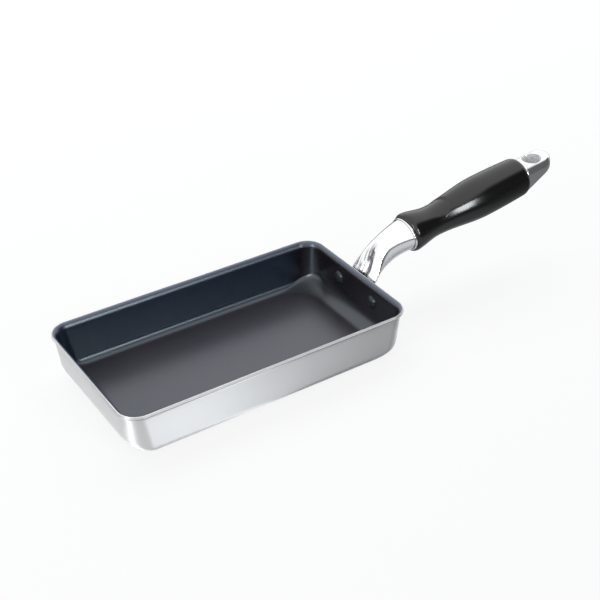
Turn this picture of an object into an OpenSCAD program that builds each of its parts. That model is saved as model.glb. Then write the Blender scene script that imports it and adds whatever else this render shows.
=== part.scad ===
/* [Pan body] */
// Length over the lip, along the handle
pan_l = 201.5; // [170:0.5:240]
// Width over the lip
pan_w = 112; // [100:0.5:160]
// Height from the table to the top of the rim
pan_h = 33.5; // [32:0.5:40]
// Thickness of the pressed aluminium sheet
sheet_t = 1.8; // [1.4:0.1:2.4]
// Plan radius of the wall's corners below the lip
corner_r = 11.5; // [10:0.5:16]
// How much that radius grows from the lip down to the floor
corner_grow = 6; // [5:0.5:8]
// How much larger that radius is at the floor at the handle's end, most of it close to the floor
handle_grow = 20; // [12:1:20]
// Fillet between floor and wall at the tip, outside
tip_fillet = 18; // [10:0.5:19]
// Fillet between floor and wall at the handle end, outside
handle_fillet = 13; // [9:0.5:13.5]
// Fillet between floor and the long walls, outside
side_fillet = 7; // [5:0.5:8]
// Lean of the long walls from upright, in degrees
side_lean = 3; // [0:0.5:5]

/* [Lip] */
// Bending radius of the flared lip on its inner, coated side
lip_bend = 5.5; // [4.5:0.1:6.5]
// How far the lip is bent over from upright, in degrees
lip_angle = 65; // [55:1:75]

/* [Rivets] */
// Shank diameter of the two rivets
rivet_d = 5; // [4:0.1:6]
// Diameter of the dome head inside the pan
rivet_head_d = 9.6; // [8.5:0.1:10.5]
// Height of the dome head
rivet_head_h = 2.2; // [1.5:0.1:3]
// Distance between the two rivets
rivet_gap = 37; // [34:0.5:40]
// Height of the rivets above the table
rivet_z = 20.5; // [20.2:0.1:21]

/* [Handle neck] */
// Thickness of the neck's stainless sheet
neck_t = 1.5; // [1.2:0.1:1.8]
// Half width of the neck where it enters the grip
neck_ry = 12.4; // [11.8:0.1:12.6]
// Half height of the neck where it enters the grip
neck_rz = 10.4; // [9.6:0.1:10.8]
// Half width of the neck at its waist
waist_ry = 8.6; // [8:0.1:10]
// Half height of the neck at its waist
waist_rz = 10.3; // [9.6:0.1:10.8]
// Half width of the neck beside the lip and at its foot
root_ry = 12.6; // [12:0.1:13.4]
// Half height of the neck beside the lip
root_rz = 3.1; // [2.8:0.1:3.4]
// Height of the foot plate on the wall
foot_h = 14; // [12.5:0.5:14.5]
// Width of the valley pressed into the neck's top
valley_w = 14.4; // [12:0.2:15.6]
// Depth of that valley
valley_d = 4.5; // [3:0.5:5]
// Where the valley ends, as a share of the way from foot to grip
valley_end = 0.76; // [0.7:0.01:0.8]
// How far the ferrule stands out from the neck
ferrule_t = 0.6; // [0.4:0.1:0.9]
// Length of the ferrule
ferrule_l = 1.8; // [1:0.1:3]

/* [Grip] */
// Distance from the lip to the grip's front face
grip_reach = 37.2; // [36.4:0.2:39]
// Height of the grip's front face above the rim, at its axis
grip_rise = 17.1; // [16.1:0.1:18.2]
// Rise of the handle from level, in degrees
handle_tilt = 8.5; // [6:0.5:11]
// Length of the grip
grip_l = 100; // [90:1:115]
// Radius of the grip at its front collar
collar_r = 13.8; // [13.4:0.1:15]
// Radius of the grip at its waist
grip_waist_r = 11.2; // [10.8:0.1:12]
// Radius of the grip at its belly
belly_r = 14.7; // [13.5:0.1:16]
// Radius of the grip just before its rear end
rear_r = 13.7; // [13.4:0.1:14.2]
// Depth of the thumb rest
thumb_depth = 1.5; // [0.8:0.1:1.9]
// Distance from the grip's front face to the end of the thumb rest
thumb_s = 36; // [31:1:40]

/* [Hanging loop] */
// Width of the hanging loop
loop_w = 20; // [19.6:0.2:21]
// How far the loop stands out of the grip
loop_l = 26; // [24:0.5:30]
// Height of the loop's top above the middle of the grip
loop_rise = 9.7; // [9:0.1:10]
// Height of the loop where it leaves the grip
loop_h = 17.7; // [17:0.1:18.5]
// Height of the loop at its tip
loop_tip_h = 6; // [5:0.5:9]
// Diameter of the hole that the pan hangs by
hole_d = 13; // [11:0.5:13.5]
// Distance from the grip to the middle of that hole
hole_reach = 12; // [10:0.5:13]
// Wall of the loop's pressed shell
loop_t = 1.2; // [1:0.1:1.5]

/* [Tie screw] */
// Thread diameter of the tie screw
screw_d = 5; // [4:0.5:5.5]
// Diameter of its head
screw_head_d = 9; // [8.4:0.1:10]
// Height of its head
screw_head_h = 3; // [2.5:0.1:3.4]

/* [Hidden] */
$fn = 64;

// Clearance between pieces that slide together, and around bores
fit_gap = 0.15;
bore_gap = 0.05;
// How far a cut runs past the face that it leaves by, and a length that passes the whole handle
over = 1;
tall = 40;

// Lip and wall of the pan
lip_out_r = lip_bend - sheet_t;
bend_in = -lip_out_r * cos(lip_angle);
wall_in = bend_in + lip_out_r;
bend_z = pan_h - lip_bend * sin(lip_angle);
lip_under_z = bend_z + lip_out_r * sin(lip_angle);
wall_x = pan_l / 2 - wall_in;
CORNER_STEPS = 10;
// Power by which a corner at the handle's end closes in from the floor up
GROW_BEND = 8;
FILLET_STEPS = 8;
LIP_STEPS = 7;

// Heads of the rivets on the neck's foot, which are this much smaller than those inside the pan
tail_less_d = 1.6;
tail_less_h = 0.6;
rivet_tail_d = rivet_head_d - tail_less_d;
rivet_tail_h = rivet_head_h - tail_less_h;

// Room that the neck leaves for the lip: beside it, under it and above it
lip_side_gap = 0.6;
lip_under_gap = 1.6;
lip_room_h = 12;

// Place of the handle's own frame: x along the grip, z up across it
grip_x = pan_l / 2 + grip_reach;
grip_z = pan_h + grip_rise;

// Swell of the grip along its length, and how its two ends are rounded
waist_s = 22;
belly_s = 64;
nose_round = 3.2;
nose_drop = 1.5;
end_round = 4;
end_drop = 2.6;
core_r = 4.2;

// Thumb rest: its level stretch, the step that ends it and how far it reaches down the sides
thumb_flat = 5;
thumb_step = 3;
thumb_side = 0.35;

// Plate in the neck's end, and the washers and head of the tie screw behind it
socket_l = 7;
plate_t = 3;
plate_s = socket_l - fit_gap - plate_t;
washer_t = 1;
washer_more = 1.6;
washer_d = screw_head_d + washer_more;
spring_t = 1.3;
spring_less = 0.4;
spring_d = screw_head_d - spring_less;
spring_split = 0.8;
spring_s = plate_s - washer_t - spring_t;
head_s = spring_s - screw_head_h;
recess_l = 5.4;
recess_w = 1.1;
recess_depth = 1.6;

// Nose of the loop in the grip, with the nut inside it and the thread that stands out of the nut
nose_l = 8;
nose_w = 14;
nose_h = 12;
nose_wall = 1.6;
nut_t = 4;
nut_af = 8;
nut_s = grip_l - nose_l + nose_wall;
thread_out = 1.5;

// Hole of the loop, how far its top falls to the tip, and the radius of its rounded edges
hole_s = grip_l + hole_reach;
loop_fall = 0.7;
loop_edge_r = 11;

function mix(a, b, t) = a + (b - a) * t;
function ease(t) = (1 - cos(180 * t)) / 2;

// Surface through a list of closed rings, with a flat cap at each end
module loft(rings) {
    n = len(rings[0]);
    m = len(rings);
    sides = [for (i = [0:m - 2], j = [0:n - 1], half = [0, 1])
        let (a = i * n + j, b = i * n + (j + 1) % n)
        half == 0 ? [a, a + n, b + n] : [a, b + n, b]];
    first = [for (j = [0:n - 1]) j];
    last = [for (j = [n - 1:-1:0]) (m - 1) * n + j];
    polyhedron([for (r = rings) each r], concat([first], sides, [last]), convexity = 8);
}

// One level of the pan: insets from the lip's box and heights at tip, handle end and sides
function pan_ring(tip, handle, side, r_tip, r_handle) =
    let (x0 = -pan_l / 2 + tip[0], x1 = pan_l / 2 - handle[0], y1 = pan_w / 2 - side[0])
    [for (q = [0:3], k = [0:CORNER_STEPS])
        let (a = 90 * (q + k / CORNER_STEPS), at_tip = q == 1 || q == 2,
            r = at_tip ? r_tip : r_handle,
            cx = at_tip ? x0 + r : x1 - r,
            cy = q < 2 ? y1 - r : r - y1,
            s = sin(a) * sin(a))
        [cx + r * cos(a), cy + r * sin(a), mix(at_tip ? tip[1] : handle[1], side[1], s)]];

// Fillet and wall in section: inset and height at angle a, for outer radius r and offset t
function fillet_in(r, lean, a, t) =
    wall_in + (bend_z - r + r * sin(lean)) * tan(lean) + r * cos(lean) - (r - t) * cos(a);
function fillet_z(r, a, t) = r - (r - t) * sin(a);

// Levels of the fillet, from the floor up to the wall, at offset t from the outside
function fillet_rings(t) = [for (k = [0:FILLET_STEPS])
    let (a = mix(90, 0, k / FILLET_STEPS), b = mix(90, side_lean, k / FILLET_STEPS),
        rise = 1 - side_fillet * (1 - sin(a)) / bend_z,
        grow = corner_grow * rise, more = handle_grow * pow(rise, GROW_BEND))
    pan_ring([fillet_in(tip_fillet, 0, a, t), fillet_z(tip_fillet, a, t)],
        [fillet_in(handle_fillet, 0, a, t), fillet_z(handle_fillet, a, t)],
        [fillet_in(side_fillet, side_lean, b, t), fillet_z(side_fillet, b, t)],
        corner_r + grow - (tip_fillet + side_fillet) / 2 * (1 - cos(a)) - t * cos(a),
        corner_r + more - (handle_fillet + side_fillet) / 2 * (1 - cos(a)) - t * cos(a))];

// Levels of the lip, from the wall to the cut edge, at bending radius r
function lip_rings(r) = [for (k = [0:LIP_STEPS])
    let (a = lip_angle * k / LIP_STEPS, e = [bend_in + r * cos(a), bend_z + r * sin(a)],
        c = corner_r + wall_in - e[0])
    pan_ring(e, e, e, c, c)];

function reversed(list) = [for (i = [len(list) - 1:-1:0]) list[i]];

module pan_body() {
    color([0.8, 0.8, 0.8])
    difference() {
        loft(concat(fillet_rings(0), lip_rings(lip_out_r),
            reversed(lip_rings(lip_bend)), reversed(fillet_rings(sheet_t))));
        for (side = [-1, 1])
            translate([wall_x - sheet_t - over, side * rivet_gap / 2, rivet_z])
                rotate([0, 90, 0]) cylinder(d = rivet_d + 2 * bore_gap, h = sheet_t + 2 * over);
    }
}

// Dome of height h on a disc of diameter d, standing on z = 0
module dome(d, h) {
    r = (d * d / 4 + h * h) / (2 * h);
    rotate_extrude()
        intersection() {
            translate([0, h - r]) circle(r);
            square([d / 2, h]);
        }
}

module rivets() {
    color([0.62, 0.62, 0.64])
    for (side = [-1, 1])
        translate([wall_x - sheet_t, side * rivet_gap / 2, rivet_z]) {
            rotate([0, -90, 0]) dome(rivet_head_d, rivet_head_h);
            rotate([0, 90, 0]) cylinder(d = rivet_d, h = sheet_t + neck_t);
            translate([sheet_t + neck_t, 0, 0])
                rotate([0, 90, 0]) dome(rivet_tail_d, rivet_tail_h);
        }
}

module handle_frame() {
    translate([grip_x, 0, grip_z]) rotate([0, -handle_tilt, 0]) children();
}

// Centre line of the neck from the foot (t = 0) to the grip's face (t = 1), in x and z: a cubic curve
// that leaves the wall upwards and meets the grip in line with it
neck_turn = 5.6;
neck_lead = 27;
neck_start = 2;
neck_p0 = [wall_x + neck_t / 2, rivet_z - foot_h / 2 + neck_start];
neck_p1 = [wall_x + neck_t / 2, pan_h - neck_turn];
neck_p2 = [grip_x - neck_lead * cos(handle_tilt), grip_z - neck_lead * sin(handle_tilt)];
neck_p3 = [grip_x, grip_z];
function neck_at(t) = pow(1 - t, 3) * neck_p0 + 3 * t * pow(1 - t, 2) * neck_p1
    + 3 * t * t * (1 - t) * neck_p2 + pow(t, 3) * neck_p3;
function neck_dir(t) = let (d = neck_at(t + 0.001) - neck_at(t - 0.001)) d / norm(d);

// The neck is flat and wide up to the lip, tall and narrow at its waist, and oval at the grip
LIP_AT = 0.35;
WAIST_AT = 0.72;
function neck_half_w(t) = t < LIP_AT ? root_ry
    : t < WAIST_AT ? mix(root_ry, waist_ry, ease((t - LIP_AT) / (WAIST_AT - LIP_AT)))
    : mix(waist_ry, neck_ry, pow((t - WAIST_AT) / (1 - WAIST_AT), 1.5));
function neck_half_h(t) = t < LIP_AT ? mix(neck_t / 2, root_rz, ease(t / LIP_AT))
    : t < WAIST_AT ? mix(root_rz, waist_rz, ease((t - LIP_AT) / (WAIST_AT - LIP_AT)))
    : mix(waist_rz, neck_rz, (t - WAIST_AT) / (1 - WAIST_AT));

// Oval outline of the neck's end, off by gap, as a flat polygon across the handle
OVAL_STEP = 7.5;
module neck_oval(gap) {
    polygon([for (a = [0:OVAL_STEP:359]) [(neck_ry + gap) * cos(a), (neck_rz + gap) * sin(a)]]);
}

module along_handle(s, h) {
    translate([s, 0, 0]) rotate([90, 0, 90]) linear_extrude(h) children();
}

// Depth of the valley at t, and at distance y from the middle: it has soft shoulders, closes in a
// blunt round end, and grows shallow towards that end
VALLEY_FADE = 0.42;
VALLEY_ROUND = 0.14;
VALLEY_SHOULDER = 4.5;
VALLEY_BLEND = 1.4;
VALLEY_BLUNT = 2.4;
NARROWEST = 0.01;
function valley_half(t) =
    let (u = max(0, (t - valley_end + VALLEY_ROUND) / VALLEY_ROUND))
    valley_w / 2 * max(NARROWEST, sqrt(max(0, 1 - pow(min(1, u), VALLEY_BLUNT))));
function valley(t, y) =
    let (fade = min(1, max(0, (t - valley_end + VALLEY_FADE) / VALLEY_FADE)))
    valley_d * (1 - ease(fade))
        * pow(1 - pow(min(1, abs(y) / valley_half(t)), VALLEY_SHOULDER), VALLEY_BLEND);

// Oval across the neck at t, off by gap, with the valley in its top, which goes no deeper than the
// two sheets that lie on each other there. It lowers the roof of the cavity inside as well.
function neck_ring(t, gap) =
    let (p = neck_at(t), d = neck_dir(t), w = neck_half_w(t) + gap, h = neck_half_h(t) + gap)
    [for (a = [0:OVAL_STEP:359])
        let (y = w * cos(a), sheets = gap < 0 ? 0 : 2 * neck_t,
            room = max(0, 2 * h * sin(a) - sheets), up = h * sin(a) - min(valley(t, y), room))
        [p[0] - d[1] * up, y, p[1] + d[0] * up]];

// Rings along the whole neck, and where its cavity begins: nearer the pan the pressed tube is solid
NECK_STEPS = 22;
HOLLOW_AT = 0.53;

// Tube along the neck's centre line, off by gap, from t0 to the socket in the grip
module neck_sweep(t0, gap, s_end) {
    end = [grip_x + s_end * cos(handle_tilt), grip_z + s_end * sin(handle_tilt)];
    tail = [for (a = [0:OVAL_STEP:359])
        [end[0] - sin(handle_tilt) * (neck_rz + gap) * sin(a), (neck_ry + gap) * cos(a),
            end[1] + cos(handle_tilt) * (neck_rz + gap) * sin(a)]];
    steps = ceil(NECK_STEPS * (1 - t0));
    loft(concat([for (i = [0:steps]) neck_ring(mix(t0, 1, i / steps), gap)], [tail]));
}

module neck() {
    cut_w = 2 * max(root_ry, neck_ry) + 2 * over;
    color([0.86, 0.86, 0.88])
    difference() {
        union() {
            difference() {
                neck_sweep(0, 0, socket_l - fit_gap);
                neck_sweep(HOLLOW_AT, -neck_t, socket_l + over);
            }
            translate([wall_x, 0, rivet_z]) rotate([90, 0, 90])
                linear_extrude(neck_t) {
                    square([rivet_gap, foot_h], center = true);
                    for (side = [-1, 1])
                        translate([side * rivet_gap / 2, 0]) circle(d = foot_h);
                }
        }
        translate([wall_x - tall, -cut_w / 2, 0]) cube([tall, cut_w, pan_h + tall]);
        translate([wall_x - over, -cut_w / 2, lip_under_z - lip_under_gap])
            cube([over + wall_in + lip_side_gap, cut_w, lip_room_h]);
        for (side = [-1, 1])
            translate([wall_x - over, side * rivet_gap / 2, rivet_z])
                rotate([0, 90, 0]) cylinder(d = rivet_d + 2 * bore_gap, h = neck_t + 2 * over);
    }
}

module ferrule() {
    color([0.75, 0.75, 0.78])
    handle_frame() along_handle(-ferrule_l, ferrule_l)
        difference() {
            neck_oval(ferrule_t);
            neck_oval(fit_gap);
        }
}

module neck_end_plate() {
    color([0.6, 0.6, 0.62])
    handle_frame()
        difference() {
            along_handle(plate_s, plate_t) neck_oval(-neck_t - bore_gap);
            along_handle(plate_s - over, plate_t + 2 * over) circle(d = screw_d + 2 * fit_gap);
        }
}

// Radius of the grip at distance s from its front face
function grip_r(s) =
    let (r = s < waist_s ? mix(collar_r, grip_waist_r, ease(s / waist_s))
            : s < belly_s ? mix(grip_waist_r, belly_r, ease((s - waist_s) / (belly_s - waist_s)))
            : mix(belly_r, rear_r, pow((s - belly_s) / (grip_l - belly_s), 2)),
        u = max(0, (s - grip_l + end_round) / end_round),
        v = max(0, 1 - s / nose_round))
    r - end_drop * (1 - sqrt(max(0, 1 - u * u))) - nose_drop * (1 - sqrt(1 - v * v));

// Dip of the thumb rest at distance s and angle a around the grip, with its step at thumb_s
function thumb(s, a) =
    let (flat_s = thumb_s - thumb_step - thumb_flat,
        along = s < thumb_s - thumb_step ? ease(min(1, s / flat_s)) : max(0, (thumb_s - s) / thumb_step),
        across = max(0, sin(a) - thumb_side) / (1 - thumb_side))
    thumb_depth * along * across;

GRIP_ANGLE = 9;
GRIP_STEPS = 9;
function grip_ring(s) = [for (a = [0:GRIP_ANGLE:359])
    let (r = grip_r(s) - thumb(s, a)) [s, r * cos(a), r * sin(a)]];

module grip() {
    stations = concat([for (k = [0:2]) nose_round * (1 - cos(30 * k))],
        [for (k = [0:GRIP_STEPS]) mix(nose_round, thumb_s - thumb_step, k / GRIP_STEPS)],
        [thumb_s - thumb_step / 2],
        [for (k = [0:GRIP_STEPS]) mix(thumb_s, grip_l - end_round, k / GRIP_STEPS)],
        [for (k = [1:5]) grip_l - end_round * (1 - sin(18 * k))]);
    color([0.08, 0.08, 0.08])
    handle_frame()
        difference() {
            loft([for (s = stations) grip_ring(s)]);
            along_handle(-over, socket_l + over) neck_oval(fit_gap);
            along_handle(socket_l - over, grip_l) circle(r = core_r);
            along_handle(grip_l - nose_l - fit_gap, nose_l + tall) nose_outline(fit_gap);
        }
}

module tie_screw() {
    color([0.7, 0.7, 0.72])
    handle_frame() {
        along_handle(spring_s, nut_s + nut_t + thread_out - spring_s) circle(d = screw_d);
        difference() {
            along_handle(head_s, screw_head_h) circle(d = screw_head_d);
            for (turn = [0, 90])
                along_handle(head_s - over, recess_depth + over)
                    rotate(turn) square([recess_l, recess_w], center = true);
        }
    }
}

module flat_washer() {
    color([0.7, 0.7, 0.72])
    handle_frame() along_handle(plate_s - washer_t, washer_t)
        difference() {
            circle(d = washer_d);
            circle(d = screw_d + 2 * fit_gap);
        }
}

// Split ring that is pressed flat under the screw's head
module spring_washer() {
    color([0.35, 0.35, 0.36])
    handle_frame() along_handle(spring_s, spring_t)
        difference() {
            circle(d = spring_d);
            circle(d = screw_d + 2 * fit_gap);
            rotate(25) translate([0, -spring_split / 2]) square([spring_d, spring_split]);
        }
}

module loop_nut() {
    color([0.7, 0.7, 0.72])
    handle_frame()
        difference() {
            along_handle(nut_s, nut_t) circle(d = nut_af / cos(30), $fn = 6);
            along_handle(nut_s - over, nut_t + 2 * over) circle(d = screw_d + 2 * bore_gap);
        }
}

// Outline of the loop's nose in the grip, off by gap
module nose_outline(gap) {
    square([nose_w + 2 * gap, nose_h + 2 * gap], center = true);
}

// Body of the loop, set in by wall: its plan, its side view and its rounded edges together
module loop_body(wall, s0, open_below) {
    tip = grip_l + loop_l - wall;
    half = loop_w / 2 - wall;
    low = open_below ? tall / 2 : 0;
    intersection() {
        translate([0, 0, -tall / 2]) linear_extrude(tall) {
            translate([s0, -half]) square([tip - half - s0, 2 * half]);
            translate([tip - half, 0]) circle(r = half);
        }
        rotate([90, 0, 0]) linear_extrude(tall, center = true)
            polygon([[s0, loop_rise - wall], [tip, loop_rise - loop_fall - wall],
                [tip, loop_rise - loop_fall - loop_tip_h - low], [s0, loop_rise - loop_h - low]]);
        if (!open_below) along_handle(s0, loop_l + over) circle(r = loop_edge_r);
    }
}

module hanging_loop() {
    nose_s = grip_l - nose_l;
    color([0.85, 0.85, 0.86])
    handle_frame()
        difference() {
            union() {
                difference() {
                    union() {
                        loop_body(0, grip_l, false);
                        along_handle(nose_s, nose_l + loop_t / 2) nose_outline(0);
                    }
                    intersection() {
                        loop_body(loop_t, grip_l + loop_t, true);
                        along_handle(grip_l, loop_l) circle(r = loop_edge_r - loop_t);
                    }
                    along_handle(nut_s, nose_l - nose_wall + loop_t + over) nose_outline(-loop_t);
                }
                intersection() {
                    loop_body(0, grip_l, false);
                    translate([hole_s, 0, -tall / 2]) cylinder(d = hole_d + 2 * loop_t, h = tall);
                }
            }
            translate([hole_s, 0, -tall / 2]) cylinder(d = hole_d, h = tall);
            along_handle(nose_s - over, nose_wall + 2 * over) circle(d = screw_d + 2 * fit_gap);
        }
}

pan_body();
rivets();
neck();
ferrule();
neck_end_plate();
grip();
tie_screw();
spring_washer();
flat_washer();
loop_nut();
hanging_loop();
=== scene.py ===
import bpy
import numpy as np
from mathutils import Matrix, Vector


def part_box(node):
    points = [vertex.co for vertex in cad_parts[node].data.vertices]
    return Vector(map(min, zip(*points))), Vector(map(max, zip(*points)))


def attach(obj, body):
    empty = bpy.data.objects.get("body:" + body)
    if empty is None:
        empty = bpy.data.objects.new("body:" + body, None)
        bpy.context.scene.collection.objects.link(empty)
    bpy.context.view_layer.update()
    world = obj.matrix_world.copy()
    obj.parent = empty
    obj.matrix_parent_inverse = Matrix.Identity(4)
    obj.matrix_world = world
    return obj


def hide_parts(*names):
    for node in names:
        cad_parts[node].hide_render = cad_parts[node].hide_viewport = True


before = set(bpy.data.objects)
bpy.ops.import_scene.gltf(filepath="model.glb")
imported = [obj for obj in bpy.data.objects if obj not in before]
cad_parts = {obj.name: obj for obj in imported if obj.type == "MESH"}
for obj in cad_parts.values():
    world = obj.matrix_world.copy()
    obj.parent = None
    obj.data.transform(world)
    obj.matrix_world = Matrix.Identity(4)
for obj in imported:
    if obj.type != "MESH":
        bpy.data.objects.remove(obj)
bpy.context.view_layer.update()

# Pan body: one aluminium sheet pressed into a deep rectangular tray, with its lip flared outwards
# and trimmed. The inside is sprayed with a dark blue-grey non-stick coating up to the cut edge; the
# outside is left bare and brushed to a satin finish.
MM = 0.001  # sizes are written in millimetres
SHEET = 1.8
LIP_BEND = 5.5
LIP_ANGLE = np.radians(65)
SIDE_LEAN = np.radians(3)
CORNER_R, TIP_GROW, HANDLE_GROW, GROW_BEND = 11.5, 6.0, 20.0, 8
TIP_FILLET, HANDLE_FILLET, SIDE_FILLET = 18.0, 13.0, 7.0
EDGE_ROUND = 0.35
CORNER_STEPS, FILLET_STEPS, LIP_STEPS, EDGE_STEPS = 28, 18, 14, 10
FLOOR_MARGINS = (0.5, 1.2, 2.2)
SHARP_FROM = np.radians(35)
SATIN_SHADES = (0.80, 0.80, 0.80, 1), (0.87, 0.87, 0.875, 1)
HOB_DULL = (0.55, 0.54, 0.53, 1)
CREASE_PAINTED_SHADE = (0.12, 0.12, 0.12, 1)
COAT_SHADES = (0.003, 0.009, 0.024, 1), (0.006, 0.014, 0.032, 1)
COAT_WORN_AND_LIT = (0.044, 0.036, 0.042, 1)
COAT_PAINTED_SHADE = (0.006, 0.001, 0.002, 1)
COAT_SPECK = (0.10, 0.11, 0.13, 1)
COAT_PAINTED_HIGHLIGHT = (0.17, 0.19, 0.26, 1)

pan_low, pan_high = (np.array(corner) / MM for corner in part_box("pan_body"))
PAN_L, PAN_W, PAN_H = pan_high - pan_low
LIP_OUT = LIP_BEND - SHEET
BEND_IN = -LIP_OUT * np.cos(LIP_ANGLE)
WALL_IN = BEND_IN + LIP_OUT
BEND_Z = PAN_H - LIP_BEND * np.sin(LIP_ANGLE)


def pan_ring(tip, handle, side, r_tip, r_handle):
    """One level of the tray: a rectangle with round corners, inset and raised as tip, handle and
    side say. Around each corner the height turns from the end's to the side's by the sine squared."""
    turn = np.linspace(0, np.pi / 2, CORNER_STEPS + 1)
    angle = np.concatenate([turn + quarter * np.pi / 2 for quarter in range(4)])
    quarter = np.repeat(np.arange(4), CORNER_STEPS + 1)
    at_tip = (quarter == 1) | (quarter == 2)
    radius = np.where(at_tip, r_tip, r_handle)
    centre_x = np.where(at_tip, tip[0] - PAN_L / 2 + radius, PAN_L / 2 - handle[0] - radius)
    centre_y = (PAN_W / 2 - side[0] - radius) * np.where(quarter < 2, 1, -1)
    share = np.sin(angle) ** 2
    end_z = np.where(at_tip, tip[1], handle[1])
    return np.stack([centre_x + radius * np.cos(angle), centre_y + radius * np.sin(angle),
                     end_z + (side[1] - end_z) * share], axis=1)


def fillet_ring(k, offset):
    """Level k of the fillet between floor (0) and wall (FILLET_STEPS), offset inwards from the
    outside: a quarter circle in section at each side, stopped short by that wall's lean. In plan
    the corners grow with their depth under the lip's bend: evenly at the tip, and by a high power
    of it at the handle, where the growth lies close to the floor."""
    def section(radius, lean):
        a = np.pi / 2 + (lean - np.pi / 2) * k / FILLET_STEPS
        foot = WALL_IN + (BEND_Z - radius + radius * np.sin(lean)) * np.tan(lean) + radius * np.cos(lean)
        return foot - (radius - offset) * np.cos(a), radius - (radius - offset) * np.sin(a)

    a = np.pi / 2 * (1 - k / FILLET_STEPS)
    depth = 1 - SIDE_FILLET * (1 - np.sin(a)) / BEND_Z
    corners = [CORNER_R + grow - (fillet + SIDE_FILLET) / 2 * (1 - np.cos(a)) - offset * np.cos(a)
               for fillet, grow in ((TIP_FILLET, TIP_GROW * depth),
                                    (HANDLE_FILLET, HANDLE_GROW * depth ** GROW_BEND))]
    return pan_ring(section(TIP_FILLET, 0), section(HANDLE_FILLET, 0), section(SIDE_FILLET, SIDE_LEAN),
                    *corners)


def lip_ring(angle, radius):
    """Level of the lip at an angle around its bend: the wall turned outwards about the bend's centre."""
    edge = (BEND_IN + radius * np.cos(angle), BEND_Z + radius * np.sin(angle))
    corner = CORNER_R + WALL_IN - edge[0]
    return pan_ring(edge, edge, edge, corner, corner)


def inset_ring(ring, by):
    """The ring drawn in towards the middle of the floor, at its own height: each point moves by its
    share of the pan's half length and half width times the distance."""
    reach = np.array([PAN_L / 2, PAN_W / 2, 1.0])
    return ring * (1 - np.array([by, by, 0.0]) / reach)


def cut_edge_rings():
    """The lip's cut edge from its underside to its inner side: a flat cut whose two corners are
    rounded by EDGE_ROUND, so the cut steps back there by a quarter circle."""
    across = np.linspace(-1, 1, EDGE_STEPS + 1)[1:-1]
    corner = np.clip((np.abs(across) * SHEET / 2 - SHEET / 2 + EDGE_ROUND) / EDGE_ROUND, 0, 1)
    back = EDGE_ROUND * (1 - np.sqrt(1 - corner ** 2))
    radius = (LIP_BEND + LIP_OUT) / 2 + across * SHEET / 2
    return [lip_ring(LIP_ANGLE - b / r, r) for b, r in zip(back, radius)]


def closed_mesh(name, rings, materials, wrap=False, coats=None):
    """A mesh over closed rings of equal length, one quad between neighbours. Unless it wraps round
    to its first ring, a flat face closes each end. coats gives each band of quads its material."""
    rings = np.asarray(rings)
    count, around = rings.shape[:2]
    index = np.arange(count * around).reshape(count, around)
    here = index if wrap else index[:-1]
    there = np.roll(index, -1, axis=0) if wrap else index[1:]
    quads = np.stack([here, there, np.roll(there, -1, axis=1), np.roll(here, -1, axis=1)], axis=2)
    faces = quads.reshape(-1, 4).tolist()
    if not wrap:
        faces += [index[0].tolist(), index[-1][::-1].tolist()]
    points = rings.reshape(-1, 3)
    corners = points[quads.reshape(-1, 4)]
    volume = np.einsum("ij,ij->", corners[:, 0], np.cross(corners[:, 1], corners[:, 2]))
    volume += np.einsum("ij,ij->", corners[:, 0], np.cross(corners[:, 2], corners[:, 3]))
    mesh = bpy.data.meshes.new(name)
    mesh.from_pydata((points * MM).tolist(), [], faces)
    if volume < 0:
        mesh.flip_normals()
    for material in materials:
        mesh.materials.append(material)
    if coats is not None:
        each = np.repeat(np.asarray(coats), around)
        if not wrap:
            each = np.append(each, [coats[0], coats[-1]])
        mesh.polygons.foreach_set("material_index", each.astype(np.int32))
    mesh.shade_smooth()
    mesh.set_sharp_from_angle(angle=SHARP_FROM)
    mesh.update()
    piece = bpy.data.objects.new(name, mesh)
    bpy.context.scene.collection.objects.link(piece)
    return piece


class Signal:
    """A shader socket that can be written in sums: each operator adds one Math node."""

    def __init__(self, sheet, socket):
        self.sheet, self.socket = sheet, socket

    def math(self, operation, first, second):
        return self.sheet.node("ShaderNodeMath", {"operation": operation}, {0: first, 1: second})

    def __add__(self, other):
        return self.math("ADD", self, other)

    def __radd__(self, other):
        return self.math("ADD", other, self)

    def __sub__(self, other):
        return self.math("SUBTRACT", self, other)

    def __rsub__(self, other):
        return self.math("SUBTRACT", other, self)

    def __mul__(self, other):
        return self.math("MULTIPLY", self, other)

    def __rmul__(self, other):
        return self.math("MULTIPLY", other, self)


class NodeSheet:
    """The nodes of one material or of the room. Each comes from node(), as a signal."""

    def __init__(self, tree):
        self.tree = tree

    def node(self, kind, settings=None, inputs=None, out=0):
        """One node: its settings are set first, a ramp's stops among them, and then its sockets."""
        made = self.tree.nodes.new(kind)
        for label, value in (settings or {}).items():
            if label == "stops":
                ramp = made.color_ramp
                while len(ramp.elements) < len(value):
                    ramp.elements.new(1.0)
                for element, (at, shade) in zip(ramp.elements, value):
                    element.position, element.color = at, (shade, shade, shade, 1.0)
            else:
                setattr(made, label, value)
        for label, value in (inputs or {}).items():
            self.feed(made.inputs[label], value)
        return Signal(self, made.outputs[out])

    def feed(self, socket, value):
        if isinstance(value, Signal):
            self.tree.links.new(value.socket, socket)
        else:
            socket.default_value = value


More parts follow.
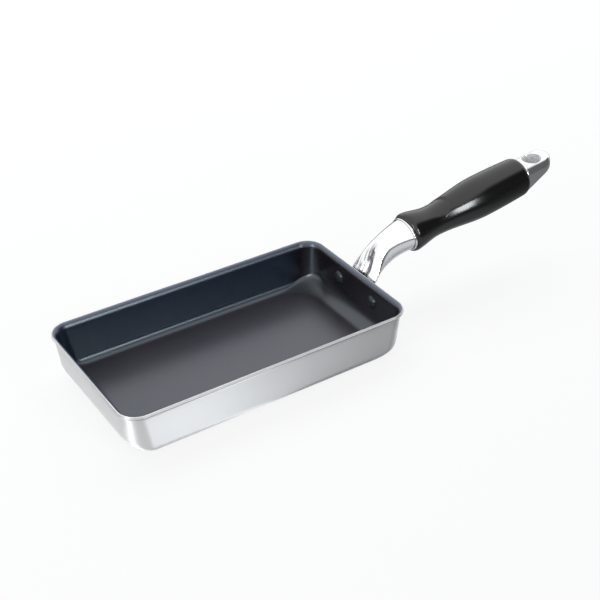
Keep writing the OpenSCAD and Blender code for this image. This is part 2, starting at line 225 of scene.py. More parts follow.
class Finish(NodeSheet):
    """A surface finish: a material with one Principled shader, whose plain values are set on its
    sockets, and whose patterns read the piece's own coordinates in metres."""

    def __init__(self, name, **plain):
        self.material = bpy.data.materials.new(name)
        self.material.use_nodes = True
        super().__init__(self.material.node_tree)
        self.shader = self.tree.nodes["Principled BSDF"]
        for label, value in plain.items():
            self.shader.inputs[label.replace("_", " ")].default_value = value
        self.place = self.node("ShaderNodeTexCoord", out="Object")

    def axis(self, letter):
        return self.node("ShaderNodeSeparateXYZ", {}, {0: self.place}, out=letter)

    def noise(self, scale, detail, roughness=0.5, stretch=(1, 1, 1)):
        """Smooth random values from 0 to 1 with about scale features a metre, stretched by axis."""
        place = self.node("ShaderNodeMapping", {}, {"Vector": self.place, "Scale": stretch})
        return self.node("ShaderNodeTexNoise", {},
                         {"Vector": place, "Scale": scale, "Detail": detail, "Roughness": roughness})

    def ramp(self, value, *stops):
        """Grey levels in straight lines between stops, each of them a place and a level."""
        return self.node("ShaderNodeValToRGB", {"stops": stops}, {"Fac": value})

    def mix(self, factor, first, second):
        """Colour first where factor is 0 and second where it is 1."""
        return self.node("ShaderNodeMix", {"data_type": "RGBA"}, {0: factor, 6: first, 7: second}, out=2)

    def bump(self, height, distance, strength):
        """Surface relief: height from 0 to 1 over a distance in metres."""
        return self.node("ShaderNodeBump", {},
                         {"Height": height, "Distance": distance, "Strength": strength})

    def wear(self, **patterns):
        """Joins patterns to the shader's sockets and returns the finished material."""
        for label, value in patterns.items():
            self.feed(self.shader.inputs[label.replace("_", " ")], value)
        return self.material


def satin_aluminium():
    """Bare sheet, brushed along the walls: fine lines level around the wall, faint cloudy patches, a
    rubbed, duller ring where it stands on the hob, and painted shade: a dark line in the crease
    under the lip."""
    finish = Finish("satin_aluminium", Metallic=1.0, Anisotropic=0.95, Anisotropic_Rotation=0.25)
    lines = finish.noise(60, 3.0, 0.6, stretch=(0.35, 0.35, 40))
    grain = finish.noise(1500, 2.0)
    cloud = finish.noise(28, 2.0)
    height = finish.axis("Z") * (1 / MM)
    rubbed = finish.ramp(height, (0.0, 1.0), (0.9, 0.0)) * finish.noise(160, 3.0)
    # Painted shade: a dark band in the base colour in the crease under the lip, where shade falls.
    crease = finish.ramp(height * (1 / PAN_H), (0.885, 0.0), (0.92, 1.0), (0.95, 1.0), (0.953, 0.0))
    colour = finish.mix(cloud, *SATIN_SHADES)
    colour = finish.mix(rubbed, colour, HOB_DULL)
    colour = finish.mix(crease * 0.8, colour, CREASE_PAINTED_SHADE)
    return finish.wear(
        Base_Color=colour,
        Roughness=0.55 + lines * 0.08 + cloud * 0.05 + rubbed * 0.1,
        Normal=finish.bump(lines * 0.6 + grain * 0.4, 0.00003, 0.5))


def non_stick():
    """Sprayed coating: near-black with a blue-grey cast, a fine even orange peel and tiny mineral
    specks. The floor is lighter and warmer, partly from wear where food is turned and partly as
    painted light on the upward face. Towards the handle it is darker and loses its cast, as painted
    shade. Near the rim it is wiped smoother and stays duller on the shoulder, and over the rim a
    lighter, more metallic band is a painted highlight."""
    finish = Finish("non_stick_coating", IOR=1.9, Specular_Tint=(0.80, 0.91, 1.0, 1.0))
    peel = finish.noise(900, 2.0)
    cloud = finish.noise(18, 3.0)
    specks = finish.ramp(finish.noise(2600, 0.0), (0.70, 0.0), (0.78, 1.0))
    level = finish.axis("Z") * (1 / MM / PAN_H)
    # The floor's lighter, warmer colour is partly wear where food is turned and partly painted light on
    # the upward face.
    floor_wear_and_light = finish.ramp(level, (0.056, 1.0), (0.10, 0.0))
    # Painted shade: towards the handle end the coating is darker and loses its blue cast.
    handle_end_painted_shade = finish.ramp(finish.axis("X") * 10, (0.74, 0.0), (0.88, 1.0))
    wiped = finish.ramp(level, (0.75, 0.0), (0.98, 1.0))
    shoulder = finish.ramp(level, (0.80, 0.0), (0.92, 1.0))
    # Painted highlight: a lighter, more metallic band in the colour along the top of the rim.
    rim_painted_highlight = finish.ramp(level, (0.94, 0.0), (0.99, 1.0))
    colour = finish.mix(cloud, *COAT_SHADES)
    colour = finish.mix(floor_wear_and_light * (0.6 + cloud * 0.4), colour, COAT_WORN_AND_LIT)
    colour = finish.mix(handle_end_painted_shade * 0.95, colour, COAT_PAINTED_SHADE)
    colour = finish.mix(specks * 0.35, colour, COAT_SPECK)
    colour = finish.mix(rim_painted_highlight * 0.85, colour, COAT_PAINTED_HIGHLIGHT)
    return finish.wear(
        Base_Color=colour,
        Metallic=rim_painted_highlight * 0.4,
        Roughness=0.27 + cloud * 0.04 - wiped * 0.05 + shoulder * 0.06,
        Normal=finish.bump(peel, 0.00002, 0.35))


outside = [fillet_ring(k, 0) for k in range(FILLET_STEPS + 1)]
outside += [lip_ring(LIP_ANGLE * k / LIP_STEPS, LIP_OUT) for k in range(LIP_STEPS)]
edge = cut_edge_rings()
inside = [lip_ring(LIP_ANGLE * k / LIP_STEPS, LIP_BEND) for k in range(LIP_STEPS - 1, -1, -1)]
inside += [fillet_ring(k, SHEET) for k in range(FILLET_STEPS, -1, -1)]
under = [inset_ring(outside[0], by) for by in FLOOR_MARGINS[::-1]]
floor = [inset_ring(inside[-1], by) for by in FLOOR_MARGINS]
tray = under + outside + edge + inside + floor
bare_bands = len(under) + len(outside) + len(edge)
pan_coats = [0] * bare_bands + [1] * (len(tray) - 1 - bare_bands)
pan = closed_mesh("pan_shell", tray, [satin_aluminium(), non_stick()], coats=pan_coats)
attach(pan, "root")
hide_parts("pan_body")

# Rivets: two aluminium rivets hold the neck's foot to the end wall. Their low domes inside the pan
# were coated with it, and their smaller closed heads on the foot are bare.
RIVET_D, RIVET_HEAD_D, RIVET_HEAD_H = 5.0, 9.6, 2.2
RIVET_TAIL_D, RIVET_TAIL_H = 8.0, 1.6
RIVET_GAP, RIVET_Z = 37.0, 20.5
NECK_T = 1.5
RIM_ROUND = 0.3
DOME_STEPS, RIVET_AROUND = 14, 48
WALL_X = PAN_L / 2 - WALL_IN
RIVET_COAT, RIVET_SCUFFED = (0.02, 0.023, 0.03, 1), (0.16, 0.17, 0.18, 1)
RIVET_SHADES = (0.70, 0.70, 0.71, 1), (0.84, 0.84, 0.85, 1)


def once_around(count):
    """Even angles from 0 up to a full turn, without its end."""
    return np.linspace(0, 2 * np.pi, count, endpoint=False)


def dome_profile(diameter, rise):
    """Points (radius, height) from the top of a dome to its rim: a circle's arc whose last stretch
    turns down in a small round to meet the sheet."""
    sphere = (diameter ** 2 / 4 + rise ** 2) / (2 * rise)
    radius = diameter / 2 * np.sin(np.linspace(0, np.pi / 2, DOME_STEPS))
    height = np.sqrt(sphere ** 2 - radius ** 2) - sphere + rise
    edge_share = np.clip((radius - diameter / 2 + RIM_ROUND) / RIM_ROUND, 0, 1)
    return radius, height * np.sqrt(1 - edge_share ** 2)


def turned(radius, along):
    """A round piece about the x axis: the profile's radius carried round at each place along x."""
    angle = once_around(RIVET_AROUND)
    x = np.repeat(along[:, None], RIVET_AROUND, axis=1)
    return np.stack([x, radius[:, None] * np.cos(angle), radius[:, None] * np.sin(angle)], axis=2)


def darkened_rivet():
    """Coated rivet head: dark, with specks where the coating is scuffed down to the metal."""
    finish = Finish("rivet_coat", IOR=1.5)
    scuff = finish.ramp(finish.noise(1800, 3.0), (0.58, 0.0), (0.66, 1.0))
    return finish.wear(
        Base_Color=finish.mix(scuff, RIVET_COAT, RIVET_SCUFFED),
        Metallic=0.35 + scuff * 0.4,
        Roughness=0.26 + finish.noise(500, 2.0) * 0.1,
        Normal=finish.bump(finish.noise(1200, 2.0), 0.00002, 0.4))


def rivet_tail():
    """Bare aluminium head, struck by a die: bright, with fine pits."""
    finish = Finish("rivet_bare", Metallic=1.0)
    pits = finish.noise(2200, 3.0, 0.6)
    return finish.wear(
        Base_Color=finish.mix(pits, *RIVET_SHADES),
        Roughness=0.25 + pits * 0.15,
        Normal=finish.bump(pits, 0.00003, 0.5))


head_r, head_h = dome_profile(RIVET_HEAD_D, RIVET_HEAD_H)
tail_r, tail_h = dome_profile(RIVET_TAIL_D, RIVET_TAIL_H)
held = SHEET + NECK_T
profile_r = np.concatenate([head_r[1:], [RIVET_D / 2, RIVET_D / 2], tail_r[:0:-1]])
profile_x = np.concatenate([-head_h[1:], [0.0, held], held + tail_h[:0:-1]])
head_bands = DOME_STEPS - 1
rivet_coats = [1] * head_bands + [0] * (len(profile_r) - 1 - head_bands)
for side, label in ((-1, "rivet_near"), (1, "rivet_far")):
    place = np.array([WALL_X - SHEET, side * RIVET_GAP / 2, RIVET_Z])
    rivet = closed_mesh(label, turned(profile_r, profile_x) + place, [rivet_tail(), darkened_rivet()],
                        coats=rivet_coats)
    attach(rivet, "root")
    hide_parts("rivets")

# Neck: a stainless steel tube, pressed flat and riveted to the pan at its foot, which passes the lip,
# narrows to a waist and swells to an oval that enters the grip. Pressing it flat leaves a valley in
# its top, from the lip to the waist, and all of it is polished bright.
TILT = np.radians(8.5)
ROOT_RY, ROOT_RZ = 12.6, 3.1
WAIST_RY, WAIST_RZ = 8.6, 10.3
NECK_RY, NECK_RZ = 12.4, 10.4
LIP_AT, WAIST_AT = 0.35, 0.72
NECK_SPREAD = 1.5
VALLEY_W, VALLEY_END, VALLEY_ROUND, VALLEY_FADE = 14.4, 0.82, 0.20, 0.64
VALLEY_BLUNT, VALLEY_SLOPE = 2.4, 1.3
CREASE_PITCH, CREASE_DEPTH = 2.6, 0.30
HOLLOW_AT = 0.53
FOOT_H, NECK_START, NECK_TURN, NECK_LEAD = 14.0, 2.0, 5.6, 27.0
GRIP_X, GRIP_Z = PAN_L / 2 + 37.2, PAN_H + 17.1
SOCKET_L, FIT_GAP = 7.0, 0.15
LIP_SIDE_GAP, LIP_UNDER_GAP, LIP_STEP_H = 0.6, 1.6, 1.0
LIP_UNDER_Z = BEND_Z + LIP_OUT * np.sin(LIP_ANGLE)
NECK_AROUND, NECK_STEPS, HOLLOW_STEPS = 160, 110, 36
FOOT_END_STEPS, EDGE_CURVE_STEPS = 25, 5
STEEL_SHADES = (0.86, 0.86, 0.875, 1), (0.92, 0.92, 0.93, 1)
VALLEY_PAINTED_REFLECTION = (0.16, 0.16, 0.17, 1)


def neck_line(t):
    """Centre line in x and z: a cubic Bezier curve from the foot, which leaves the wall upwards and
    reaches the grip in line with it."""
    points = np.array([
        [WALL_X + NECK_T / 2, RIVET_Z - FOOT_H / 2 + NECK_START],
        [WALL_X + NECK_T / 2, PAN_H - NECK_TURN],
        [GRIP_X - NECK_LEAD * np.cos(TILT), GRIP_Z - NECK_LEAD * np.sin(TILT)],
        [GRIP_X, GRIP_Z]])
    weights = np.stack([(1 - t) ** 3, 3 * t * (1 - t) ** 2, 3 * t * t * (1 - t), t ** 3], axis=-1)
    return weights @ points


def neck_heading(t):
    """Unit direction of the centre line, from two points close to t on either side."""
    near = 0.001
    step = neck_line(t + near) - neck_line(t - near)
    return step / np.linalg.norm(step, axis=-1, keepdims=True)


def ease(t):
    """Half a cosine wave, from 0 at 0 to 1 at 1."""
    return (1 - np.cos(np.pi * np.clip(t, 0, 1))) / 2


def neck_half_width(t):
    """Wide and level up to the lip, eased in to the waist, then spread again to the grip."""
    narrowing = ROOT_RY + (WAIST_RY - ROOT_RY) * ease((t - LIP_AT) / (WAIST_AT - LIP_AT))
    spread = np.clip((t - WAIST_AT) / (1 - WAIST_AT), 0, 1) ** NECK_SPREAD
    return np.where(t < WAIST_AT, narrowing, WAIST_RY + (NECK_RY - WAIST_RY) * spread)


def neck_half_height(t):
    """Pressed flat at the foot, swelling to the lip and on to the waist, then nearly even."""
    foot = NECK_T / 2 + (ROOT_RZ - NECK_T / 2) * ease(t / LIP_AT)
    rise = ROOT_RZ + (WAIST_RZ - ROOT_RZ) * ease((t - LIP_AT) / (WAIST_AT - LIP_AT))
    end = WAIST_RZ + (NECK_RZ - WAIST_RZ) * np.clip((t - WAIST_AT) / (1 - WAIST_AT), 0, 1)
    return np.where(t < LIP_AT, foot, np.where(t < WAIST_AT, rise, end))


def valley(t, y):
    """Share of the tube's height that is pressed in at t and across at y: a groove with sloping
    sides and a narrow round bottom, which closes in a blunt end and grows shallow towards it."""
    deep = 1 - ease((t - VALLEY_END + VALLEY_FADE) / VALLEY_FADE)
    closing = np.clip((t - VALLEY_END + VALLEY_ROUND) / VALLEY_ROUND, 0, 1)
    never_closed = 0.0001
    half = VALLEY_W / 2 * np.sqrt(np.clip(1 - closing ** VALLEY_BLUNT, never_closed, 1))
    return deep * (1 - np.clip(np.abs(y) / half, 0, 1) ** VALLEY_SLOPE) ** VALLEY_SLOPE


def neck_rings(t, inwards):
    """Ovals across the centre line at each t, off by inwards. The valley lowers their tops by its
    share of the oval's height, less the two sheets that meet at its bottom, and has faint creases
    along it, as a cosine across. No point is nearer to the pan than the wall, or than the room left
    for the lip."""
    angle = once_around(NECK_AROUND)
    half_w = (neck_half_width(t) - inwards)[:, None]
    half_h = (neck_half_height(t) - inwards)[:, None]
    across = half_w * np.cos(angle)
    sheets = 0 if inwards else 2 * NECK_T
    room = np.clip(2 * half_h * np.sin(angle) - sheets, 0, None)
    pressed = valley(t[:, None], across)
    crease = CREASE_DEPTH * np.cos(2 * np.pi * across / CREASE_PITCH)
    up = half_h * np.sin(angle) - pressed * (room + crease)
    line, heading = neck_line(t), neck_heading(t)
    x = line[:, :1] - heading[:, 1:] * up
    z = line[:, 1:] + heading[:, :1] * up
    under_lip = ease((z - LIP_UNDER_Z + LIP_UNDER_GAP + LIP_STEP_H) / LIP_STEP_H)
    nearest = WALL_X + under_lip * (PAN_L / 2 + LIP_SIDE_GAP - WALL_X)
    return np.stack([np.maximum(x, nearest), across, z], axis=2)


def straight_end(ring, length):
    """The last ring moved on along the handle by a length."""
    return ring + length * np.array([np.cos(TILT), 0, np.sin(TILT)])


def polished_steel():
    """Mirror-polished stainless steel with the faint haze, wheel marks and finger smears that such a
    polish keeps. Grey stripes along the neck's valley are painted reflections, and rougher there."""
    finish = Finish("polished_steel", Metallic=1.0)
    pressed = finish.node("ShaderNodeAttribute", {"attribute_name": "pressed"}, out="Fac")
    # Painted reflection: grey stripes in the base colour along the valley, where the polished hollow
    # mirrors its surroundings.
    valley_painted_stripes = finish.ramp(finish.noise(1000, 1.0, stretch=(0.12, 1, 0.12)), (0.46, 0.0), (0.53, 1.0))
    valley_painted_stripes = valley_painted_stripes * finish.ramp(pressed, (0.05, 0.0), (0.20, 1.0))
    haze = finish.noise(45, 3.0)
    marks = finish.noise(220, 3.0, 0.6, stretch=(0.3, 4, 4))
    colour = finish.mix(haze, *STEEL_SHADES)
    return finish.wear(
        Base_Color=finish.mix(valley_painted_stripes * 0.85, colour, VALLEY_PAINTED_REFLECTION),
        Roughness=0.07 + haze * 0.05 + marks * 0.03 + valley_painted_stripes * 0.15,
        Normal=finish.bump(marks, 0.00004, 0.25))


steel = polished_steel()
stations = np.linspace(0, 1, NECK_STEPS + 1)
outer = neck_rings(stations, 0.0)
inner = neck_rings(np.linspace(1, HOLLOW_AT, HOLLOW_STEPS + 1), NECK_T)
ends = [straight_end(ring, SOCKET_L - FIT_GAP)[None] for ring in (outer[-1], inner[0])]
neck = closed_mesh("neck_tube", np.concatenate([outer, *ends, inner]), [steel])
on_top = np.sin(once_around(NECK_AROUND)) > 0
marked = (valley(stations[:, None], outer[:, :, 1]) * on_top).ravel()
marked = np.concatenate([marked, np.zeros(len(neck.data.vertices) - len(marked))])
neck.data.attributes.new("pressed", "FLOAT", "POINT").data.foreach_set("value", marked)


def foot_rings():
    """The foot plate: a stadium outline of the neck's sheet, its two edges rounded by RIM_ROUND."""
    turn = np.linspace(-np.pi / 2, np.pi / 2, FOOT_END_STEPS)
    angle = np.concatenate([turn, turn + np.pi])
    centre = np.repeat([RIVET_GAP / 2, -RIVET_GAP / 2], FOOT_END_STEPS)
    curve = np.linspace(0, np.pi / 2, EDGE_CURVE_STEPS)
    inset = np.concatenate([RIM_ROUND * (1 - np.sin(curve)), RIM_ROUND * (1 - np.cos(curve))])
    depth = np.concatenate([RIM_ROUND * (1 - np.cos(curve)), NECK_T - RIM_ROUND * (1 - np.sin(curve))])
    radius = (FOOT_H / 2 - inset)[:, None]
    y, z = centre + radius * np.cos(angle), RIVET_Z + radius * np.sin(angle)
    return np.stack([WALL_X + np.repeat(depth[:, None], len(angle), axis=1), y, z], axis=2)


foot = closed_mesh("neck_foot", foot_rings(), [steel])
for piece in (neck, foot):
    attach(piece, "root")
    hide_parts("neck")

# Ferrule: a thin bright band pressed over the neck where it enters the grip. It hides the joint and
# keeps water out.
FERRULE_T, FERRULE_L = 0.6, 1.8
FERRULE_AROUND = 128


def on_handle(s, y, z):
    """Points given along, across and up the handle, in the pan's own frame."""
    s, y, z = np.broadcast_arrays(s, y, z)
    return np.stack([GRIP_X + s * np.cos(TILT) - z * np.sin(TILT), y,
                     GRIP_Z + s * np.sin(TILT) + z * np.cos(TILT)], axis=-1)


def ferrule_rings():
    """An oval band: its section is a flat strip whose outer corners are rounded off."""
    angle = once_around(FERRULE_AROUND)
    curve = np.linspace(0, np.pi / 2, EDGE_CURVE_STEPS)
    rise = FERRULE_T - FIT_GAP
    out = FIT_GAP + np.concatenate([[0.0], rise * np.sin(curve), rise * np.cos(curve), [0.0]])
    along = np.concatenate([[0.0], rise * (1 - np.cos(curve)), FERRULE_L - rise * (1 - np.sin(curve)),
                            [FERRULE_L]]) - FERRULE_L
    return on_handle(along[:, None], (NECK_RY + out[:, None]) * np.cos(angle),
                     (NECK_RZ + out[:, None]) * np.sin(angle))


ferrule = closed_mesh("ferrule_band", ferrule_rings(), [steel], wrap=True)
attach(ferrule, "root")
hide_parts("ferrule")

# Tie screw and its washers, plate and nut: plain steel hardware inside the handle. The screw runs
# through the grip's core and draws the loop, the grip and the neck together.
HARDWARE_SHADES = (0.50, 0.50, 0.52, 1), (0.68, 0.68, 0.70, 1)


def plain_steel():
    """Zinc-bright steel: slightly cloudy, with fine turning marks."""
    finish = Finish("plain_steel", Metallic=1.0)
    cloud = finish.noise(300, 3.0)
    marks = finish.noise(900, 2.0, 0.6, stretch=(6, 1, 1))
    return finish.wear(
        Base_Color=finish.mix(cloud, *HARDWARE_SHADES),
        Roughness=0.30 + cloud * 0.15,
        Normal=finish.bump(marks, 0.00003, 0.4))


hardware = plain_steel()
for name in ("neck_end_plate", "tie_screw", "spring_washer", "flat_washer", "loop_nut"):
    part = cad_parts[name]
    part.data.materials.clear()
    part.data.materials.append(hardware)

# Grip: a solid moulding of glossy black phenolic, swelling to fill the palm, with a shallow thumb
# rest on top. A socket in front takes the neck and a core bore takes the tie screw.
GRIP_L = 100.0
COLLAR_R, GRIP_WAIST_R, BELLY_R, REAR_R = 13.8, 11.2, 14.7, 13.65
WAIST_S, BELLY_S = 22.0, 64.0
NOSE_ROUND, NOSE_DROP, END_ROUND, END_DROP = 3.2, 1.5, 4.0, 2.6
THUMB_S, THUMB_DEPTH, THUMB_STEP, THUMB_REACH = 36.0, 1.5, 2.0, 30.0
THUMB_HALF, THUMB_BEND, THUMB_FADE = np.radians(64), 9.0, 1.2
CORE_R = 4.2
NOSE_L, NOSE_W, NOSE_H = 8.0, 14.0, 12.0
GRIP_AROUND = 180
THUMB_FINE = THUMB_S - 14, THUMB_S + 1
NOSE_STEPS, FRONT_STEPS, THUMB_STEPS, BELLY_STEPS, END_STEPS = 8, 24, 46, 60, 14
PHENOLIC_SHADES = (0.001, 0.001, 0.0012, 1), (0.002, 0.0018, 0.002, 1)


def grip_radius(s):
    """Radius of the grip: eased from the collar to the waist and on to the belly, then falling to
    the rear by a parabola, with both ends rounded by a quarter ellipse."""
    collar = COLLAR_R + (GRIP_WAIST_R - COLLAR_R) * ease(s / WAIST_S)
    belly = GRIP_WAIST_R + (BELLY_R - GRIP_WAIST_R) * ease((s - WAIST_S) / (BELLY_S - WAIST_S))
    rear = BELLY_R + (REAR_R - BELLY_R) * np.clip((s - BELLY_S) / (GRIP_L - BELLY_S), 0, 1) ** 2
    radius = np.where(s < WAIST_S, collar, np.where(s < BELLY_S, belly, rear))
    end = np.clip((s - GRIP_L + END_ROUND) / END_ROUND, 0, 1)
    nose = np.clip(1 - s / NOSE_ROUND, 0, 1)
    return radius - END_DROP * (1 - np.sqrt(1 - end ** 2)) - NOSE_DROP * (1 - np.sqrt(1 - nose ** 2))


def thumb_dip(s, angle):
    """Depth of the thumb rest: it deepens along the top towards the rear and ends in a crescent
    step, whose line bends forward on both sides. It fades around the grip by the angle squared."""
    away = np.abs(np.arctan2(np.sin(angle - np.pi / 2), np.cos(angle - np.pi / 2)))
    side = np.clip(away / THUMB_HALF, 0, 1)
    end = THUMB_S - THUMB_BEND * side ** 2
    along = ease(s / THUMB_REACH) * (1 - ease((s - end + THUMB_STEP) / THUMB_STEP))
    return THUMB_DEPTH * along * (1 - side ** 2) ** THUMB_FADE


def grip_outside():
    """Rings of the moulding's outer surface, closer together at its ends and at the thumb step."""
    nose = NOSE_ROUND * (1 - np.cos(np.linspace(0, np.pi / 2, NOSE_STEPS)))
    end = GRIP_L - END_ROUND * (1 - np.sin(np.linspace(0, np.pi / 2, END_STEPS)))
    fine_from, fine_to = THUMB_FINE
    along = np.concatenate([
        nose[:-1],
        np.linspace(nose[-1], fine_from, FRONT_STEPS)[:-1],
        np.linspace(fine_from, fine_to, THUMB_STEPS)[:-1],
        np.linspace(fine_to, end[0], BELLY_STEPS)[:-1],
        end])
    angle = once_around(GRIP_AROUND)
    radius = grip_radius(along)[:, None] - thumb_dip(along[:, None], angle[None, :])
    return [on_handle(s, r * np.cos(angle), r * np.sin(angle)) for s, r in zip(along, radius)]


def grip_inside():
    """Rings from the rear face inwards: the loop's square pocket, the round core bore and the neck's
    oval socket, up to the front face."""
    angle = once_around(GRIP_AROUND)
    cos, sin = np.cos(angle), np.sin(angle)
    square = 1 / np.maximum(np.abs(cos) / (NOSE_W / 2 + FIT_GAP), np.abs(sin) / (NOSE_H / 2 + FIT_GAP))
    pocket_s = GRIP_L - NOSE_L - FIT_GAP
    rings = [(GRIP_L, square, square), (pocket_s, square, square), (pocket_s, CORE_R, CORE_R),
             (SOCKET_L, CORE_R, CORE_R), (SOCKET_L, NECK_RY + FIT_GAP, NECK_RZ + FIT_GAP),
             (0.0, NECK_RY + FIT_GAP, NECK_RZ + FIT_GAP)]
    return [on_handle(s, wide * cos, high * sin) for s, wide, high in rings]


def black_phenolic():
    """Compression-moulded phenolic: deep black and glossy, with a slow ripple from the mould and
    faint hairline scuffs."""
    finish = Finish("black_phenolic", IOR=1.62)
    ripple = finish.noise(30, 1.0)
    scuffs = finish.noise(700, 3.0, 0.65, stretch=(0.2, 2, 2))
    return finish.wear(
        Base_Color=finish.mix(ripple, *PHENOLIC_SHADES),
        Roughness=0.14 + ripple * 0.01 + scuffs * 0.02,
        Normal=finish.bump(scuffs, 0.000003, 0.2))


grip = closed_mesh("grip_moulding", grip_outside() + grip_inside(), [black_phenolic()], wrap=True)
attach(grip, "root")
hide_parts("grip")

# Hanging loop: a pressed and polished steel cap behind the grip, open below, with a collared hole
# for a hook. Its square nose sits in the grip and holds the nut.
LOOP_W, LOOP_L, LOOP_H, LOOP_TIP_H, LOOP_T = 20.0, 26.0, 17.7, 6.0, 1.2
LOOP_RISE, LOOP_FALL, LOOP_CROWN = 9.7, 0.7, 11.0
SIDE_EDGE, TIP_EDGE = 1.2, 2.6
HOLE_D, HOLE_ROUND = 13.0, 0.9
HOLE_S = GRIP_L + 12.0
LOOP_SOFT, INNER_BEVEL, COLLAR_ROUND = 0.6, 1.0, 0.3
LOOP_AROUND, LOOP_TOP_STEPS, LOOP_CURVE_STEPS, COLLAR_STEPS = 144, 10, 7, 5
NOSE_AROUND, NOSE_SQUARE = 64, 0.2
NOSE_CURVE = (0.0, 0.93), (0.15, 0.97), (0.5, 1.0), (NOSE_L + LOOP_T / 2, 1.0)
PUNCHED_SHADES = (0.88, 0.88, 0.89, 1), (0.95, 0.95, 0.955, 1)


def loop_reach(angle):
    """Distance from the hole's centre to the cap's outline: straight in front and at the sides, and
    behind, a half circle as wide as the cap."""
    cos, sin = np.cos(angle), np.sin(angle)
    half, behind = LOOP_W / 2, GRIP_L + LOOP_L - LOOP_W / 2 - HOLE_S
    least = 0.001
    side = half / np.maximum(np.abs(sin), least)
    front = (HOLE_S - GRIP_L) / np.maximum(-cos, least)
    round_end = behind * cos + np.sqrt(half ** 2 - (behind * sin) ** 2)
    return np.where(round_end * cos > behind, round_end, np.minimum(side, front))


def loop_top(s, y):
    """Height of the cap's top: it falls a little in a straight line to the tip, and its sides follow
    a cylinder about the handle. The lower of the two counts, with the meeting line softened."""
    flat = LOOP_RISE - LOOP_FALL * (s - GRIP_L) / LOOP_L
    crown = np.sqrt(LOOP_CROWN ** 2 - y ** 2)
    return (flat + crown - np.sqrt((flat - crown) ** 2 + LOOP_SOFT)) / 2


def loop_bottom(s, y):
    """Height of the cap's lower edge, which rises in a straight line to the tip."""
    tip = LOOP_RISE - LOOP_FALL - LOOP_TIP_H
    return LOOP_RISE - LOOP_H + (tip - LOOP_RISE + LOOP_H) * (s - GRIP_L) / LOOP_L


def loop_rings():
    """Rings about the hole: up its wall, over its rounded rim and the cap's top, round the cap's
    edge, down the side, in round the lower edge and back under the top to the collar's outside."""
    angle = once_around(LOOP_AROUND)
    reach, hole = loop_reach(angle), np.full(LOOP_AROUND, HOLE_D / 2)
    edge = SIDE_EDGE + (TIP_EDGE - SIDE_EDGE) * np.clip(np.cos(angle), 0, 1)
    quarter = np.linspace(0, np.pi / 2, LOOP_CURVE_STEPS)
    rings = []

    def add(radius, level, change=0.0):
        along, y = HOLE_S + radius * np.cos(angle), radius * np.sin(angle)
        rings.append(on_handle(along, y, level(along, y) + change))

    add(hole, loop_bottom, LOOP_T / 2)
    for a in quarter:
        add(hole + HOLE_ROUND * (1 - np.cos(a)), loop_top, HOLE_ROUND * (np.sin(a) - 1))
    for share in np.linspace(0, 1, LOOP_TOP_STEPS)[1:-1]:
        add(hole + HOLE_ROUND + (reach - edge - hole - HOLE_ROUND) * share, loop_top)
    for a in quarter[::-1]:
        add(reach - edge * (1 - np.cos(a)), loop_top, edge * (np.sin(a) - 1))
    for turn in np.linspace(0, np.pi, LOOP_CURVE_STEPS):
        add(reach - LOOP_T / 2 * (1 - np.cos(turn)), loop_bottom, LOOP_T / 2 * (1 - np.sin(turn)))
    add(reach - LOOP_T, loop_top, -edge - INNER_BEVEL)
    add(reach - LOOP_T - INNER_BEVEL, loop_top, -LOOP_T)
    add(hole + LOOP_T + COLLAR_ROUND, loop_top, -LOOP_T)
    add(hole + LOOP_T, loop_top, -LOOP_T - COLLAR_ROUND)
    for turn in np.linspace(0, np.pi, COLLAR_STEPS)[:-1]:
        add(hole + LOOP_T / 2 * (1 + np.cos(turn)), loop_bottom, LOOP_T / 2 * (1 - np.sin(turn)))
    return rings


def matt_steel():
    """The hole's wall as the punch left it: the same steel, matt and light, with faint upright lines."""
    finish = Finish("punched_steel", Metallic=1.0)
    lines = finish.noise(900, 2.0, stretch=(1, 1, 0.15))
    return finish.wear(
        Base_Color=finish.mix(lines, *PUNCHED_SHADES),
        Roughness=0.55 + lines * 0.1,
        Normal=finish.bump(lines, 0.00002, 0.3))


def nose_rings():
    """The square nose: a rectangle with round corners carried along the handle, its front rounded."""
    angle = once_around(NOSE_AROUND)
    cos, sin = np.cos(angle), np.sin(angle)
    y = NOSE_W / 2 * np.sign(cos) * np.abs(cos) ** NOSE_SQUARE
    z = NOSE_H / 2 * np.sign(sin) * np.abs(sin) ** NOSE_SQUARE
    return [on_handle(GRIP_L - NOSE_L + s, y * size, z * size) for s, size in NOSE_CURVE]


loop_shape = loop_rings()
loop_coats = [1] + [0] * (len(loop_shape) - 1)
loop = closed_mesh("loop_cap", loop_shape, [steel, matt_steel()], wrap=True, coats=loop_coats)
nose = closed_mesh("loop_nose", nose_rings(), [steel])
for piece in (loop, nose):
    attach(piece, "root")
    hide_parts("hanging_loop")

# Table, room, lamps and camera: a white sheet in a light room that is dark on one side, a soft lamp
# overhead, an upright strip on each side like a window, and the photograph's point of view.
FLOOR_SIZE = 8.0
FLOOR_KEEPS = 0.15
PAPER, WHITE = (0.9, 0.9, 0.9, 1), (1, 1, 1, 1)
LIT_FROM, LIT_EDGES, LIT_BRIGHT, LIT_DARK = (-0.10, -0.10, 0.0), (0.26, 0.43), 0.72, 0.20
DARK_SIDE, ROOM_EDGES = (0.664, -0.664, 0.342), (0.78, 0.92)
ROOM_BRIGHT, ROOM_DARK, ROOM_LIGHT = 1.15, 0.11, 0.25
LAMP_COLOUR = (0.93, 0.97, 1.0)
CAMERA_AT = (-0.30663, -0.53733, 0.4576)
CAMERA_AZIMUTH, CAMERA_ELEVATION = np.radians(-33.768), np.radians(33.574)
CAMERA_LENS, CAMERA_SENSOR = 71.96, 36.0


def fade(sheet, value, edges, first, second):
    """From first to second in a smooth S while value passes from one edge to the other."""
    return sheet.node("ShaderNodeMapRange", {"interpolation_type": "SMOOTHSTEP"},
                      {0: value, 1: edges[0], 2: edges[1], 3: first, 4: second})


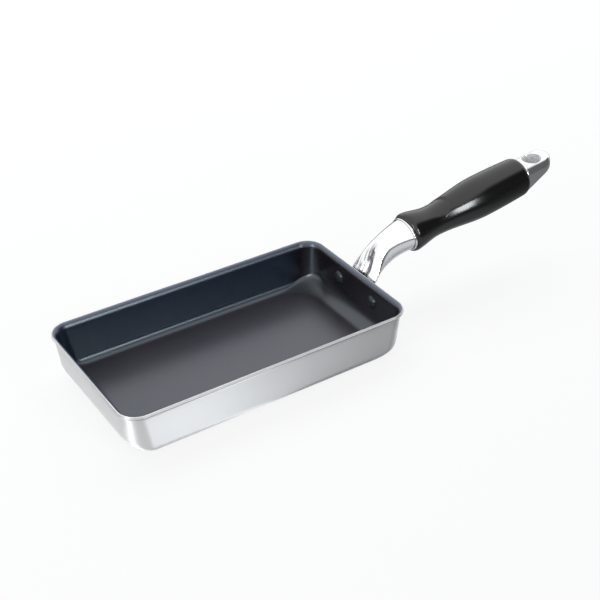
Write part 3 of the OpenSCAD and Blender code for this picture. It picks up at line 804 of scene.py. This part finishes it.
def white_table():
    """White sheet that keeps a share of the light and shadow on it and shows plain white for the
    rest. Polished metal sees it as lit paper, which falls to dark grey away from the pan."""
    material = bpy.data.materials.new("white_table")
    material.use_nodes = True
    sheet = NodeSheet(material.node_tree)
    sheet.tree.nodes.clear()
    place = sheet.node("ShaderNodeTexCoord", out="Object")
    away = sheet.node("ShaderNodeVectorMath", {"operation": "DISTANCE"}, {0: place, 1: LIT_FROM},
                      out="Value")
    seen = fade(sheet, away, LIT_EDGES, LIT_BRIGHT, LIT_DARK)
    mirrored = sheet.node("ShaderNodeBsdfDiffuse", {}, {0: seen})
    paper = sheet.node("ShaderNodeBsdfDiffuse", {}, {0: PAPER})
    white = sheet.node("ShaderNodeEmission", {}, {0: WHITE})
    by_camera = sheet.node("ShaderNodeLightPath", out="Is Camera Ray")
    by_metal = sheet.node("ShaderNodeLightPath", out="Is Glossy Ray")
    kept = sheet.node("ShaderNodeMixShader", {}, {0: FLOOR_KEEPS, 1: white, 2: paper})
    shown = sheet.node("ShaderNodeMixShader", {}, {0: by_camera, 1: paper, 2: kept})
    surface = sheet.node("ShaderNodeMixShader", {}, {0: by_metal, 1: shown, 2: mirrored})
    sheet.feed(sheet.tree.nodes.new("ShaderNodeOutputMaterial").inputs["Surface"], surface)
    return material


half_floor = FLOOR_SIZE / 2
floor_mesh = bpy.data.meshes.new("table_top")
floor_mesh.from_pydata([(-half_floor, -half_floor, 0), (half_floor, -half_floor, 0),
                        (half_floor, half_floor, 0), (-half_floor, half_floor, 0)], [], [(0, 1, 2, 3)])
floor_mesh.materials.append(white_table())
table = bpy.data.objects.new("table_top", floor_mesh)
bpy.context.scene.collection.objects.link(table)

world = bpy.data.worlds.new("studio")
world.use_nodes = True
bpy.context.scene.world = world
air = NodeSheet(world.node_tree)
way = air.node("ShaderNodeTexCoord", out="Generated")
cosine = air.node("ShaderNodeVectorMath", {"operation": "DOT_PRODUCT"}, {0: way, 1: DARK_SIDE},
                  out="Value")
room = fade(air, cosine, ROOM_EDGES, ROOM_BRIGHT, ROOM_DARK)
by_metal = air.node("ShaderNodeLightPath", out="Is Glossy Ray")
by_camera = air.node("ShaderNodeLightPath", out="Is Camera Ray")
level = ROOM_LIGHT + (room - ROOM_LIGHT) * by_metal
level = level + (1 - level) * by_camera
background = air.tree.nodes["Background"].inputs
air.feed(background["Strength"], level)
air.feed(background["Color"], WHITE)


def lamp(name, aim, azimuth, elevation, distance, size, radiance):
    """A soft rectangular lamp at a direction and distance from what it is aimed at. Its power is
    its brightness times pi times its area."""
    light = bpy.data.lights.new(name, "AREA")
    light.color = LAMP_COLOUR
    light.shape, light.size, light.size_y = "RECTANGLE", *size
    light.energy = radiance * np.pi * size[0] * size[1]
    made = bpy.data.objects.new(name, light)
    bpy.context.scene.collection.objects.link(made)
    a, e = np.radians(azimuth), np.radians(elevation)
    towards = np.array([np.cos(e) * np.cos(a), np.cos(e) * np.sin(a), np.sin(e)])
    made.location = np.array(aim) + distance * towards
    made.rotation_euler = (np.pi / 2 - e, 0.0, a + np.pi / 2)
    return made


overhead = lamp("overhead", (0.4, 0.7, 0.0), -90, 90, 1.0, (2.4, 1.1), 2.2)
overhead.visible_glossy = False
lamp("right_strip", (0.17, -0.01, 0.06), -76, 20, 3.0, (0.24, 1.5), 19.0)
lamp("left_strip", (-0.06, -0.03, 0.02), -163, 26, 1.0, (0.30, 0.50), 7.0)

camera = bpy.data.objects.new("camera", bpy.data.cameras.new("camera"))
bpy.context.scene.collection.objects.link(camera)
camera.data.sensor_width = CAMERA_SENSOR
camera.data.lens = CAMERA_LENS
camera.data.clip_start, camera.data.clip_end = 0.01, 20.0
camera.location = CAMERA_AT
camera.rotation_euler = (np.pi / 2 - CAMERA_ELEVATION, 0.0, CAMERA_AZIMUTH)
bpy.context.scene.camera = camera
bpy.context.scene.view_settings.view_transform = "Standard"
